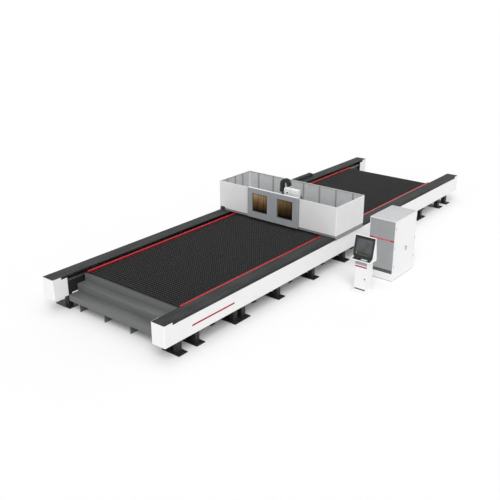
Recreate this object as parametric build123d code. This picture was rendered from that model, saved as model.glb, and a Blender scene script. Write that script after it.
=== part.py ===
from build123d import *
from math import atan2, cos, degrees, pi, sin
import os

# Large-format gantry laser cutting machine on floor rails, in millimetres.
# Working axes: X runs along the rails from their front ends, Y across them with the operator's side
# at minus Y, Z up from the floor. The last function moves everything so that the origin lies on the
# floor under the middle of the whole machine.

# Rails: box beam, cladding, end caps and top cover
rail_length = 16400.0
rail_outer = 2310.0
rail_width = 450.0
cladding_bottom = 435.0
cladding_top = 957.0
cover_top = 1025.0
sheet = 3.0
flange = 25.0
cap_length = 477.0
cap_cheek = 280.0
cap_corner = 28.0
cover_inset = 10.0
cover_lip = 15.0
cover_end_gap = 16.0
beam_width = 290.0
beam_wall = 12.0
beam_top = 880.0
beam_end_gap = 20.0
bracket_thickness = 8.0
bracket_depth = 88.0
bracket_foot = 600.0
bracket_knee = 680.0

# Linear guides, racks and pinions
guide_width = 45.0
guide_height = 38.0
guide_offset = 130.0
block_width = 100.0
block_height = 70.0
block_length = 190.0
running_gap = 0.3
rack_depth = 40.0
rack_height = 40.0
rack_top = 870.0
x_pinion_teeth = 21
x_pinion_module = 4.0
x_pinion_height = 36.0
x_shaft_radius = 16.0

# Floor legs
leg_pitch = 1755.0
leg_pairs_each_side = 3
end_leg_first = 630.0
end_leg_second = 1270.0
leg_shift = 100.0
foot_length = 600.0
foot_width = 310.0
foot_wide = 645.0
foot_thickness = 25.0
post_size = 150.0
post_pitch_wide = 330.0
post_pad = 210.0
post_pad_thickness = 20.0
anchor_radius = 11.0
anchor_spacing = 520.0

# Slat bed between the rails
bed_start = 1120.0
bed_end = 14950.0
bed_side_gap = 70.0
bed_beam_width = 90.0
bed_beam_top = 820.0
bed_beam_height = 180.0
bed_cross_width = 100.0
bed_cross_height = 110.0
bed_leg_size = 100.0
bed_leg_foot = 180.0
bed_leg_first = 2250.0
bed_cross_end_inset = 50.0
bed_leg_foot_thickness = 12.0
guard_width = 50.0
guard_height = 50.0
guard_top = 962.0
guard_web = 8.0
slat_pitch = 90.0
slat_thickness = 5.0
slat_top = 940.0
slat_height = 110.0
slat_end_margin = 45.0
slat_bar_width = 40.0
slat_bar_offset = 73.0
tray_depth = 50.0
tray_wall = 4.0
tray_margin = 20.0
end_plate_thickness = 8.0

# Entry steps at the front end
step_bottom = 270.0
step_first = 451.0
step_second = 675.0
step_landing = 912.0
step_second_x = 787.0
step_landing_x = 1065.0
step_sheet = 5.0
step_side_gap = 5.0
step_gusset = 10.0
step_gusset_spacing = 1000.0
step_gusset_count = 4
step_gusset_inset = 60.0

# Gantry: end carriages, cross beam and drives
gantry_front = 7350.0
gantry_depth = 1640.0
shell_overhang = 30.0
shell_bottom = 1106.0
shell_top = 2024.0
shell_thickness = 30.0
shell_corner = 30.0
shell_return = 100.0
carriage_front_inset = 170.0
carriage_length = 1300.0
arm_bottom = 950.0
arm_top = 990.0
arm_outer = 2160.0
arm_step = 1800.0
arm_step_height = 975.0
carriage_inner = 1700.0
riser_outer = 1866.0
top_plate_outer = 2105.0
top_plate_bottom = 1032.0
shelf_bottom = 1146.0
carriage_top = 1170.0
drive_pocket = 120.0
drive_inset = 1130.0
gearbox_size = 110.0
drive_flange = 150.0
drive_flange_thickness = 12.0
x_motor_size = 100.0
x_motor_length = 270.0
gearbox_bottom = 1060.0
beam_front = 550.0
beam_depth = 400.0
cross_beam_height = 350.0
cross_beam_half = 1900.0
cross_beam_wall = 12.0
skirt_thickness = 6.0
skirt_inset = 6.0
skirt_low = 965.0
skirt_high = 1035.0
chain_notch_outer = 2306.0
rib_pitch = 640.0
rib_count = 7
rib_width = 40.0
rib_depth = 25.0

# Doors in the front of the gantry
door_far = 1050.0
door_near = -950.0
door_bottom = 1065.0
door_top = 2065.0
door_depth = 75.0
door_stand_off = 5.0
door_skin = 3.0
door_gap = 4.0
window_width = 580.0
window_height = 600.0
window_bottom = 1290.0
window_frame = 12.0
glass_thickness = 8.0
glass_recess = 20.0
glass_seat = 14.0
frame_bar = 40.0
hinge_radius = 8.0
hinge_offset = 11.0
hinge_gap = 0.5
hinge_margin = 60.0

# Cross carriage with the Z axis
carriage_y = -340.0
carriage_plate_width = 810.0
carriage_plate_thickness = 30.0
carriage_plate_bottom = 1190.0
carriage_plate_top = 2000.0
y_guide_low = 1225.0
y_guide_high = 1465.0
y_block_spread = 560.0
y_rack_depth = 35.0
y_rack_height = 30.0
y_rack_top = 1330.0
y_pinion_teeth = 20
y_pinion_module = 3.0
y_pinion_height = 30.0
y_drive_offset = 250.0
y_shaft_radius = 13.0
y_gearbox_size = 90.0
y_gearbox_length = 110.0
y_motor_size = 80.0
y_motor_length = 170.0
y_drive_window_bottom = 1560.0
y_drive_window_top = 1760.0
z_axis_offset = -120.0
z_guide_spread = 200.0
z_guide_bottom = 1290.0
z_slide_width = 300.0
z_slide_bottom = 1400.0
z_slide_top = 1980.0
z_slide_thickness = 25.0
housing_width = 540.0
housing_depth = 150.0
housing_bottom = 1600.0
housing_top = 2190.0
housing_corner = 12.0
head_axis_depth = 70.0
collimator_size = 100.0
collimator_bottom = 1470.0
focus_size = 124.0
focus_bottom = 1240.0
neck_radius = 46.0
neck_height = 40.0
cone_height = 60.0
collar_radius = 17.0
collar_height = 12.0
nozzle_tip = 1110.0

# Cable chains
z_chain_depth = 170.0
z_chain_height = 95.0
z_chain_width = 353.0
z_chain_top = 2441.0
z_chain_fixed_end = 2010.0
z_chain_moving_end = 2205.0
z_chain_front = 350.0
z_chain_far = 62.0
x_chain_width = 185.0
x_chain_link = 40.0
x_chain_height = 115.0
x_chain_fixed = 8200.0
x_chain_reach = 12650.0
x_chain_pitch = 130.0
x_chain_notch = 8.0
chain_bracket = 15.0
chain_gap = 0.6

# Operator console
console_front = 6460.0
console_depth = 330.0
console_width = 410.0
console_centre = -3770.0
console_base_length = 520.0
console_base_width = 570.0
console_base_thickness = 25.0
console_base_overhang = 130.0
console_body_top = 960.0
console_wall = 15.0
console_corner = 12.0
console_hood_width = 640.0
console_cheek = 24.0
desk_front = 6395.0
desk_height = 1000.0
desk_lip = 40.0
screen_foot_x = 6545.0
screen_foot_z = 1052.0
screen_head_x = 6665.0
screen_head_z = 1650.0
hood_back = 6760.0
screen_thickness = 30.0
keypad_length = 150.0
keypad_width = 200.0
keypad_thickness = 18.0
console_door_bottom = 120.0
console_door_top = 745.0
console_door_thickness = 18.0
console_door_margin = 18.0
door_rest_gap = 0.5
console_knob_radius = 16.0
console_knob_depth = 22.0
console_knob_height = 430.0
console_knob_inset = 55.0
vent_bottom = 55.0
vent_top = 95.0

# Power and laser source cabinet
cabinet_front = 7647.0
cabinet_length = 1340.0
cabinet_near = -4177.0
cabinet_width = 854.0
cabinet_height = 1900.0
cabinet_foot = 20.0
cabinet_foot_inset = 25.0
cabinet_wall = 25.0
cabinet_corner = 8.0
front_panel_bottom = 244.0
front_panel_inset = 20.0
front_panel_proud = 4.0
grille_top = 351.0
grille_slots = 5
side_door_bottom = 260.0
side_door_top = 1860.0
side_door_margin = 32.0
side_door_gap = 4.0
side_door_thickness = 22.0
handle_height = 933.0
handle_length = 115.0
handle_width = 22.0
handle_depth = 28.0
handle_inset = 60.0

# Sizes that follow from the ones above
rail_inner = rail_outer - rail_width
bed_half_width = rail_inner - bed_side_gap
shell_half_width = rail_outer + shell_overhang
beam_outer = rail_outer - sheet - (rail_width - beam_width) / 2
beam_inner = beam_outer - beam_width
beam_bottom = cladding_bottom + sheet
guide_y = beam_outer - guide_offset
rack_inner = beam_inner - rack_depth
gantry_back = gantry_front + gantry_depth
carriage_front = gantry_front + carriage_front_inset
cross_beam_front = gantry_front + beam_front
cross_beam_back = cross_beam_front + beam_depth
cross_beam_top = carriage_top + cross_beam_height
drive_x = gantry_front + drive_inset
x_pinion_pitch_radius = x_pinion_teeth * x_pinion_module / 2
x_pinion_tip = x_pinion_pitch_radius + x_pinion_module
x_pinion_y = rack_inner - running_gap - x_pinion_tip
x_pinion_top = rack_top - (rack_height - x_pinion_height) / 2
rail_centre = rail_outer - rail_width / 2
plate_back = cross_beam_front - block_height
plate_front = plate_back - carriage_plate_thickness
head_y = carriage_y + z_axis_offset
y_pinion_tip = y_pinion_teeth * y_pinion_module / 2 + y_pinion_module
y_pinion_z = y_rack_top + running_gap + y_pinion_tip
slide_front = plate_front - block_height + guide_height / 2 - z_slide_thickness
housing_front = slide_front - housing_depth
z_chain_x = gantry_front + z_chain_front
cabinet_back = cabinet_front + cabinet_length
cabinet_far = cabinet_near + cabinet_width
door_face = gantry_front - door_stand_off - door_depth
hinge_x = gantry_front - hinge_radius - 1.0
x_chain_outer = chain_notch_outer - 6.0
far_reach = rail_centre + leg_shift + foot_length / 2
near_reach = cabinet_near - handle_depth
origin = Vector(rail_length / 2, (far_reach + near_reach) / 2, 0)

stand = (Align.CENTER, Align.CENTER, Align.MIN)

nodes = {}


def block(x0, x1, y0, y1, z0, z1):
    """Box between two corners."""
    centre = Pos((x0 + x1) / 2, (y0 + y1) / 2, (z0 + z1) / 2)
    return centre * Box(abs(x1 - x0), abs(y1 - y0), abs(z1 - z0))


def outline(points):
    """Flat face inside a closed outline."""
    return make_face(Polyline(*points, close=True))


def prism_xz(points, y0, y1):
    """Solid with an outline in X and Z, from y0 to y1."""
    plane = Plane(origin=(0, y0, 0), x_dir=(1, 0, 0), z_dir=(0, -1, 0))
    return extrude(plane * outline(points), amount=y1 - y0, dir=(0, 1, 0))


def prism_yz(points, x0, x1):
    """Solid with an outline in Y and Z, from x0 to x1."""
    plane = Plane(origin=(x0, 0, 0), x_dir=(0, 1, 0), z_dir=(1, 0, 0))
    return extrude(plane * outline(points), amount=x1 - x0, dir=(1, 0, 0))


def prism_xy(face, z0, z1):
    """Solid with a plan face, from z0 to z1."""
    return extrude(Pos(0, 0, z0) * face, amount=z1 - z0)


def folded(path, thickness):
    """Closed outline of a sheet bent along an open path; the sheet lies on the path's left side."""
    count = len(path)
    points = [Vector(*p) for p in path]
    normals = []
    for i in range(count - 1):
        run = (points[i + 1] - points[i]).normalized()
        normals.append(Vector(-run.Y, run.X))
    shifted = []
    for i in range(count):
        before = normals[max(i - 1, 0)]
        after = normals[min(i, count - 2)]
        mitre = (before + after) / (1 + before.dot(after))
        shifted.append(points[i] + mitre * thickness)
    closed = points + shifted[::-1]
    return [(p.X, p.Y) for p in closed]


def both_sides(shape):
    """The near-side shape and its mirror image on the far side."""
    return shape, mirror(shape, Plane.XZ)


def vertical_edges(shape, x, y, reach=1.0):
    """Upright edges of a shape at one place in plan."""
    found = []
    for edge in shape.edges().filter_by(Axis.Z):
        centre = edge.center()
        if abs(centre.X - x) < reach and abs(centre.Y - y) < reach:
            found.append(edge)
    return found


def guide_half(clearance):
    """Right half of a linear guide's section, from its foot up, grown by a clearance."""
    half = guide_width / 2 + clearance
    waist = guide_width / 3 + clearance
    return [
        (half, guide_height * 0.3),
        (waist, guide_height * 0.45),
        (waist, guide_height * 0.63),
        (half, guide_height * 0.78 - clearance),
        (half, guide_height + clearance),
    ]


def guide_section():
    """Section of a profiled linear guide standing on z = 0."""
    right = [(guide_width / 2, 0)] + guide_half(0)
    left = [(-y, z) for y, z in right]
    return right + left[::-1]


def block_section():
    """Section of the carriage block that runs on the guide."""
    foot = guide_height * 0.3
    outer = [(block_width / 2, foot), (block_width / 2, block_height)]
    inner = guide_half(running_gap)
    right = [(-y, z) for y, z in inner]
    return outer + [(-y, z) for y, z in outer[::-1]] + right + inner[::-1]


def gear_face(teeth, module, bore=0.0):
    """Plan of a spur gear with straight-flanked teeth."""
    pitch_radius = teeth * module / 2
    points = []
    for tooth in range(teeth):
        middle = 2 * pi * tooth / teeth
        step = pi / teeth
        for radius, turn in (
            (pitch_radius - 1.25 * module, -0.74 * step),
            (pitch_radius + module, -0.26 * step),
            (pitch_radius + module, 0.26 * step),
            (pitch_radius - 1.25 * module, 0.74 * step),
        ):
            points.append((radius * cos(middle + turn), radius * sin(middle + turn)))
    face = outline(points)
    return face - Circle(bore) if bore else face


# Rails

def leg_positions():
    """X of every single leg, and of the wide legs at the bed joints."""
    centre = rail_length / 2
    singles = [end_leg_first, end_leg_second]
    for i in range(1 - leg_pairs_each_side, leg_pairs_each_side):
        singles.append(centre + i * leg_pitch)
    singles += [rail_length - end_leg_second, rail_length - end_leg_first]
    wides = [centre - leg_pairs_each_side * leg_pitch, centre + leg_pairs_each_side * leg_pitch]
    return singles, wides


def rail_beam():
    """Box beam of the near rail with the welded brackets that carry its cover."""
    x0, x1 = beam_end_gap, rail_length - beam_end_gap
    tube = block(x0, x1, -beam_outer, -beam_inner, beam_bottom, beam_top)
    wall = beam_wall
    tube -= block(x0, x1, wall - beam_outer, -wall - beam_inner, beam_bottom + wall, beam_top - wall)
    outer = -(rail_outer - sheet - flange - 4)
    inner = outer + bracket_depth
    under = cover_top - sheet
    foot = -beam_outer
    rise = [(foot, bracket_foot), (outer, bracket_knee), (outer, under)]
    plate = rise + [(inner, under), (inner, beam_top), (foot, beam_top)]
    solids = [tube]
    singles, wides = leg_positions()
    for x in sorted(singles + wides):
        half = bracket_thickness / 2
        solids.append(prism_yz(plate, x - half, x + half))
    return solids


def side_cladding():
    """Folded sheet over the near rail's outer side, between the two caps."""
    inward = -rail_outer + flange
    path = [
        (inward, cladding_top),
        (-rail_outer, cladding_top),
        (-rail_outer, cladding_bottom),
        (-beam_outer + flange, cladding_bottom),
    ]
    return prism_yz(folded(path, sheet), cap_length, rail_length - cap_length)


def end_cap():
    """White cap round the near rail's front end: front, two sides and two raised cheeks."""
    def plan(inset):
        face = Rectangle(cap_length - inset, rail_width - 2 * inset)
        return Pos((cap_length + inset) / 2, 0) * face

    outer = plan(0)
    outer = fillet(outer.vertices().group_by(Axis.X)[0], cap_corner)
    inner = chamfer(plan(sheet).vertices().group_by(Axis.X)[0], cap_corner * 0.6)
    ring = Pos(0, -rail_centre) * (outer - inner)
    cap = prism_xy(ring, cladding_bottom, cover_top)
    cap -= block(cap_cheek, cap_length + 1, -rail_outer - 1, 1 - rail_inner, cladding_top, cover_top + 1)
    return cap


def rail_cover():
    """Dark cover on top of the near rail, open towards the bed."""
    outer = -rail_outer + cover_inset
    inner = -rail_inner - cover_inset - 2
    path = [(inner, cover_top - cover_lip), (inner, cover_top), (outer, cover_top), (outer, cladding_top)]
    return prism_yz(folded(path, sheet), cover_end_gap, rail_length - cover_end_gap)


def make_rails():
    """Everything of the two rails that stays still."""
    pairs = [both_sides(solid) for solid in rail_beam()]
    nodes["near_rail_beam"] = Compound(children=[near for near, far in pairs])
    nodes["far_rail_beam"] = Compound(children=[far for near, far in pairs])
    nodes["near_side_cladding"], nodes["far_side_cladding"] = both_sides(side_cladding())
    front_pair = Compound(children=list(both_sides(end_cap())))
    nodes["front_rail_caps"] = front_pair
    turned = mirror(front_pair, Plane.YZ.offset(rail_length / 2))
    nodes["rear_rail_caps"] = turned
    nodes["near_rail_cover"], nodes["far_rail_cover"] = both_sides(rail_cover())
    x0, x1 = 60.0, rail_length - 60.0
    guide = prism_yz([(y - guide_y, z + beam_top) for y, z in guide_section()], x0, x1)
    nodes["linear_guides"] = Compound(children=list(both_sides(guide)))
    rack = block(x0, x1, -beam_inner, -rack_inner, rack_top - rack_height, rack_top)
    nodes["gear_racks"] = Compound(children=list(both_sides(rack)))


def leg(width, posts, anchored=False):
    """Foot plate and its posts, which stand off its middle; an anchored plate has two bolt holes."""
    half = width / 2
    plate = block(-half, half, -foot_length / 2, foot_length / 2, 0, foot_thickness)
    if anchored:
        for y in (-anchor_spacing / 2, anchor_spacing / 2):
            plate -= Pos(0, y, foot_thickness / 2) * Cylinder(anchor_radius, foot_thickness + 2)
    top = beam_bottom
    for x in posts:
        s = post_size / 2
        p = post_pad / 2
        y = -leg_shift
        plate += block(x - s, x + s, y - s, y + s, foot_thickness, top - post_pad_thickness)
        plate += block(x - p, x + p, y - p, y + p, top - post_pad_thickness, top)
    return plate


def make_legs():
    """Legs under both rails, the same way round on each, and wide ones where bed modules meet."""
    singles, wides = leg_positions()
    for name, side in (("near_legs", -1), ("far_legs", 1)):
        y = side * rail_centre + leg_shift
        ends = (min(singles), max(singles))
        solids = [Pos(x, y, 0) * leg(foot_width, [0], x in ends) for x in singles]
        half = post_pitch_wide / 2
        solids += [Pos(x, y, 0) * leg(foot_wide, [-half, half]) for x in wides]
        nodes[name] = Compound(children=solids)


# Bed

def bed_leg_places():
    """X of every row of bed legs."""
    return [bed_leg_first + i * leg_pitch for i in range(2 * leg_pairs_each_side + 2)]


def cross_beam_places():
    """X of every cross beam of the bed: one over each row of legs and one at each end."""
    ends = [bed_start + bed_cross_end_inset, bed_end - bed_cross_end_inset]
    return [ends[0]] + bed_leg_places() + [ends[1]]


def make_bed_frame():
    """Welded bed frame: two long beams, cross beams and small floor legs."""
    low = bed_beam_top - bed_beam_height
    inner = bed_half_width - bed_beam_width
    solids = [block(bed_start, bed_end, -bed_half_width, -inner, low, bed_beam_top)]
    solids.append(block(bed_start, bed_end, inner, bed_half_width, low, bed_beam_top))
    half = bed_cross_width / 2
    leg_half = bed_leg_size / 2
    foot_half = bed_leg_foot / 2
    leg_y = bed_half_width - leg_half
    for x in cross_beam_places():
        solids.append(block(x - half, x + half, -inner, inner, low, low + bed_cross_height))
    for x in bed_leg_places():
        for y in (-leg_y, leg_y):
            post = block(x - leg_half, x + leg_half, y - leg_half, y + leg_half, 0, low)
            foot = bed_leg_foot_thickness
            post += block(x - foot_half, x + foot_half, y - foot_half, y + foot_half, 0, foot)
            solids.append(post)
    nodes["bed_frame"] = Compound(children=solids)


def slat_places():
    """X of the middle of every slat."""
    room = bed_end - bed_start - 2 * slat_end_margin
    count = int(room / slat_pitch) + 1
    first = bed_start + slat_end_margin + (room - (count - 1) * slat_pitch) / 2
    return [first + i * slat_pitch for i in range(count)]


def make_slats():
    """Upright slats across the bed, standing on a bar along each of its sides."""
    bar_y = bed_half_width - slat_bar_offset
    bottom = slat_top - slat_height
    reach = bar_y + slat_bar_width / 2
    half = slat_thickness / 2
    slats = [block(x - half, x + half, -reach, reach, bottom, slat_top) for x in slat_places()]
    nodes["slats"] = Compound(children=slats)
    bar = block(bed_start, bed_end, -reach, slat_bar_width - reach, bed_beam_top, bottom)
    nodes["slat_bars"] = Compound(children=list(both_sides(bar)))


def make_bed_trim():
    """Red guards along both sides of the bed, end plates and the scrap trays."""
    outer = -bed_half_width + 3
    inner = outer + guard_width
    section = [
        (outer, bed_beam_top),
        (outer, guard_top),
        (inner, guard_top),
        (inner, guard_top - guard_height),
        (outer + guard_web, guard_top - guard_height),
        (outer + guard_web, bed_beam_top),
    ]
    guard = prism_yz(section, bed_start, bed_end)
    nodes["bed_guards"] = Compound(children=list(both_sides(guard)))
    low = bed_beam_top - bed_beam_height
    t = end_plate_thickness
    plate = block(bed_end, bed_end + t, -bed_half_width, bed_half_width, low, step_landing)
    nodes["rear_end_plate"] = plate
    floor = low + bed_cross_height
    trays = []
    side = bed_half_width - bed_beam_width - tray_margin
    places = cross_beam_places()
    for start, end in zip(places, places[1:]):
        x0 = start + tray_margin / 2
        x1 = end - tray_margin / 2
        tray = block(x0, x1, -side, side, floor, floor + tray_depth)
        w = tray_wall
        tray -= block(x0 + w, x1 - w, w - side, side - w, floor + w, floor + tray_depth + 1)
        trays.append(tray)
    nodes["scrap_trays"] = Compound(children=trays)


def make_steps():
    """Entry steps: one stepped sheet on four welded floor gussets."""
    x0 = cap_length
    path = [
        (x0, step_bottom),
        (x0, step_first),
        (step_second_x, step_first),
        (step_second_x, step_second),
        (step_landing_x, step_second),
        (step_landing_x, step_landing),
        (bed_start, step_landing),
    ]
    half = rail_inner - step_side_gap
    mirrored = [(x, -z) for x, z in path]
    section = [(x, -z) for x, z in folded(mirrored, step_sheet)]
    steps = prism_xz(section, -half, half)
    t = step_sheet
    gusset = [
        (x0 + step_gusset_inset, 0),
        (x0 + step_gusset_inset, step_first - t),
        (step_second_x + t, step_first - t),
        (step_second_x + t, step_second - t),
        (step_landing_x + t, step_second - t),
        (step_landing_x + t, step_landing - t),
        (bed_start, step_landing - t),
        (bed_start, 0),
    ]
    for i in range(step_gusset_count):
        y = (i - (step_gusset_count - 1) / 2) * step_gusset_spacing
        steps += prism_xz(gusset, y - step_gusset / 2, y + step_gusset / 2)
    nodes["entry_steps"] = steps


# Gantry

def make_end_carriages():
    """C-shaped carriages that reach under the rail covers, with the pockets for their drives."""
    section = [
        (-arm_outer, arm_bottom),
        (-arm_step, arm_bottom),
        (-arm_step, arm_step_height),
        (-carriage_inner, arm_step_height),
        (-carriage_inner, carriage_top),
        (sheet - shell_half_width, carriage_top),
        (sheet - shell_half_width, shelf_bottom),
        (-top_plate_outer, shelf_bottom),
        (-top_plate_outer, top_plate_bottom),
        (-riser_outer, top_plate_bottom),
        (-riser_outer, arm_top),
        (-arm_outer, arm_top),
    ]
    near = prism_yz(section, carriage_front, carriage_front + carriage_length)
    half = drive_pocket / 2
    low, high = -x_pinion_y - half, half - x_pinion_y
    near -= block(drive_x - half, drive_x + half, low, high, arm_bottom - 1, carriage_top + 1)
    near, far = both_sides(near)
    back = carriage_front + carriage_length
    chain_top = cover_top + x_chain_height
    outer = x_chain_outer
    tab = block(back - 40, back, outer - x_chain_width, outer, chain_top, shelf_bottom)
    nodes["near_end_carriage"] = near
    nodes["far_end_carriage"] = far + tab
    blocks = []
    for x in (carriage_front + 30, back - 30 - block_length):
        section = [(y - guide_y, z + beam_top) for y, z in block_section()]
        blocks += both_sides(prism_yz(section, x, x + block_length))
    nodes["guide_blocks"] = Compound(children=blocks)


def make_cross_beam():
    """Box beam across the gantry with its two guides and its rack."""
    x0, x1, y = cross_beam_front, cross_beam_back, cross_beam_half
    w = cross_beam_wall
    beam = block(x0, x1, -y, y, carriage_top, cross_beam_top)
    beam -= block(x0 + w, x1 - w, -y, y, carriage_top + w, cross_beam_top - w)
    nodes["cross_beam"] = beam
    parts = []
    for z in (y_guide_low, y_guide_high):
        section = [(x0 - h, z + v) for v, h in guide_section()]
        parts.append(prism_xz(section, -y + 30, y - 30))
    low = y_rack_top - y_rack_height
    parts.append(block(x0 - y_rack_depth, x0, -y + 30, y - 30, low, y_rack_top))
    nodes["cross_guides_and_rack"] = Compound(children=parts)


def make_x_drives():
    """Motor, gearbox and pinion on each end carriage."""
    y = -x_pinion_y
    g = gearbox_size / 2
    f = drive_flange / 2
    m = x_motor_size / 2
    z = carriage_top + drive_flange_thickness
    drive = block(drive_x - g, drive_x + g, y - g, y + g, gearbox_bottom, carriage_top)
    drive += block(drive_x - f, drive_x + f, y - f, y + f, carriage_top, z)
    body = block(drive_x - m, drive_x + m, y - m, y + m, z, z + x_motor_length)
    drive += chamfer(body.edges().filter_by(Axis.Z), m * 0.3)
    nodes["x_drives"] = Compound(children=list(both_sides(drive)))
    low = x_pinion_top - x_pinion_height
    gear = prism_xy(gear_face(x_pinion_teeth, x_pinion_module), low, x_pinion_top)
    shaft_top = gearbox_bottom - running_gap
    middle = (x_pinion_top + shaft_top) / 2
    gear += Pos(0, 0, middle) * Cylinder(x_shaft_radius, shaft_top - x_pinion_top)
    nodes["near_x_pinion"], nodes["far_x_pinion"] = both_sides(Pos(drive_x, y, 0) * gear)


def shell_band(inset, front_stop):
    """Plan of the near enclosure panel: front run, end and short return, at an inset."""
    x0 = gantry_front + inset
    x1 = gantry_back - inset
    y0 = -shell_half_width + inset
    width = x1 - x0
    face = Pos((x0 + x1) / 2, 0) * Rectangle(width, -2 * y0)
    corners = face.vertices()
    return fillet(corners, max(shell_corner - inset, 0.5))


def enclosure_panel(near_stop, far_stop, x_back):
    """C-section wall with its outer skin, kept only where the given box reaches."""
    skin = shell_band(0, 0) - shell_band(sheet, 0)
    rim = shell_band(0, 0) - shell_band(shell_thickness, 0)
    wall = prism_xy(skin, shell_bottom, shell_top)
    wall += prism_xy(rim, shell_bottom, shell_bottom + sheet)
    wall += prism_xy(rim, shell_top - sheet, shell_top)
    return wall & block(gantry_front - 1, x_back, near_stop, far_stop, shell_bottom, shell_top)


def make_enclosure():
    """Walls round the gantry: two wrapped end panels, a back panel, ribs and the door frame."""
    out = shell_half_width + 1
    back = gantry_back + 1
    stop = shell_half_width - shell_return
    near = enclosure_panel(-out, door_near, back)
    near -= block(gantry_back - shell_thickness - 1, back, -stop, 0, shell_bottom - 1, shell_top + 1)
    far = enclosure_panel(door_far, out, back)
    far -= block(gantry_back - shell_thickness - 1, back, 0, stop, shell_bottom - 1, shell_top + 1)
    notch_low = x_chain_outer - x_chain_width - 6
    notch = block(gantry_front - 1, back, notch_low, chain_notch_outer, shell_bottom - 1, shelf_bottom)
    nodes["near_enclosure_panel"] = near + end_ribs(-1)
    nodes["far_enclosure_panel"] = far - notch + end_ribs(1)
    rear = enclosure_panel(-stop, stop, back)
    rear &= block(gantry_back - shell_thickness, back, -stop, stop, shell_bottom, shell_top)
    for i in range(rib_count):
        y = (i - (rib_count - 1) / 2) * rib_pitch
        x = gantry_back - sheet
        half = rib_width / 2
        rear += block(x - rib_depth, x, y - half, y + half, shell_bottom + sheet, shell_top - sheet)
    rear -= notch
    nodes["back_enclosure_panel"] = rear
    bar = frame_bar
    frame = block(gantry_front, gantry_front + bar, door_near, door_far, shell_bottom, shell_top)
    low, high = door_near + bar, door_far - bar
    frame -= block(gantry_front - 1, gantry_front + bar + 1, low, high, shell_bottom + bar, shell_top - bar)
    for y, away in ((door_near, 1), (door_far, -1)):
        low, high = hinge_split() + hinge_gap / 2, door_top - hinge_margin
        pin = y - away * hinge_offset
        frame += Pos(hinge_x, pin, (low + high) / 2) * Cylinder(hinge_radius, high - low)
        wing = gantry_front - door_stand_off + hinge_gap
        frame += block(wing, gantry_front, pin - away * hinge_radius, y + away * 12, low, high)
    nodes["door_frame"] = frame


def end_ribs(side):
    """Upright stiffeners inside an end wall."""
    ribs = None
    for share in (0.25, 0.5, 0.75):
        x = gantry_front + gantry_depth * share
        y = side * (shell_half_width - sheet)
        half = rib_width / 2
        rib = block(x - half, x + half, y, y - side * rib_depth, carriage_top + 1, shell_top - sheet)
        ribs = rib if ribs is None else ribs + rib
    return ribs


def make_skirt():
    """Grey skirt below the enclosure: short over rails and bed, long outside the rails."""
    inset = skirt_inset
    ring = shell_band(inset, 0) - shell_band(inset + skirt_thickness, 0)
    skirt = prism_xy(ring, skirt_low, shell_bottom)
    y = shell_half_width - inset - skirt_thickness
    skirt -= block(gantry_front - 1, gantry_back + 1, -y, y, skirt_low - 1, skirt_high)
    low = x_chain_outer - x_chain_width - 6
    skirt -= block(gantry_front - 1, gantry_back + 1, low, y, skirt_low - 1, shell_bottom + 1)
    nodes["skirt"] = skirt


def hinge_split():
    """Height at which the leaf's hinge barrel ends and the frame's begins."""
    return (door_bottom + door_top) / 2


def door_leaf(y0, y1, hinge_edge, away):
    """Pressed door leaf open at the back, with a rebated window opening."""
    x0 = door_face
    x1 = gantry_front - door_stand_off
    t = door_skin
    leaf = block(x0, x1, y0, y1, door_bottom, door_top)
    leaf -= block(x0 + t, x1 + 1, y0 + t, y1 - t, door_bottom + t, door_top - t)
    middle = (y0 + y1) / 2
    half = window_width / 2
    f = window_frame
    top = window_bottom + window_height
    depth = x0 + glass_recess + glass_thickness + t
    leaf += block(x0, depth, middle - half - f, middle + half + f, window_bottom - f, top + f)
    leaf -= block(x0 - 1, depth + 1, middle - half, middle + half, window_bottom, top)
    leaf -= block(
        x0 + glass_recess, depth + 1, middle - half - glass_seat / 2, middle + half + glass_seat / 2,
        window_bottom - glass_seat / 2, top + glass_seat / 2
    )
    pin = hinge_edge - away * hinge_offset
    low, high = door_bottom + hinge_margin, hinge_split() - hinge_gap / 2
    leaf += Pos(hinge_x, pin, (low + high) / 2) * Cylinder(hinge_radius, high - low)
    leaf += block(hinge_x - 4, hinge_x + 4, pin, hinge_edge + away, low, high)
    return leaf


def door_glass(y0, y1):
    """Laser safety window seated in the leaf's rebate."""
    x = door_face + glass_recess
    middle = (y0 + y1) / 2
    half = (window_width + glass_seat) / 2
    low = window_bottom - glass_seat / 2
    return block(x, x + glass_thickness, middle - half, middle + half, low, low + window_height + glass_seat)


def make_doors():
    """Two leaves that swing open over the bed."""
    split = (door_far + door_near) / 2
    far = (split + door_gap / 2, door_far)
    near = (door_near, split - door_gap / 2)
    nodes["far_door_leaf"] = door_leaf(*far, door_far, -1)
    nodes["far_door_window"] = door_glass(*far)
    nodes["near_door_leaf"] = door_leaf(*near, door_near, 1)
    nodes["near_door_window"] = door_glass(*near)


# Cross carriage and head

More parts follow.
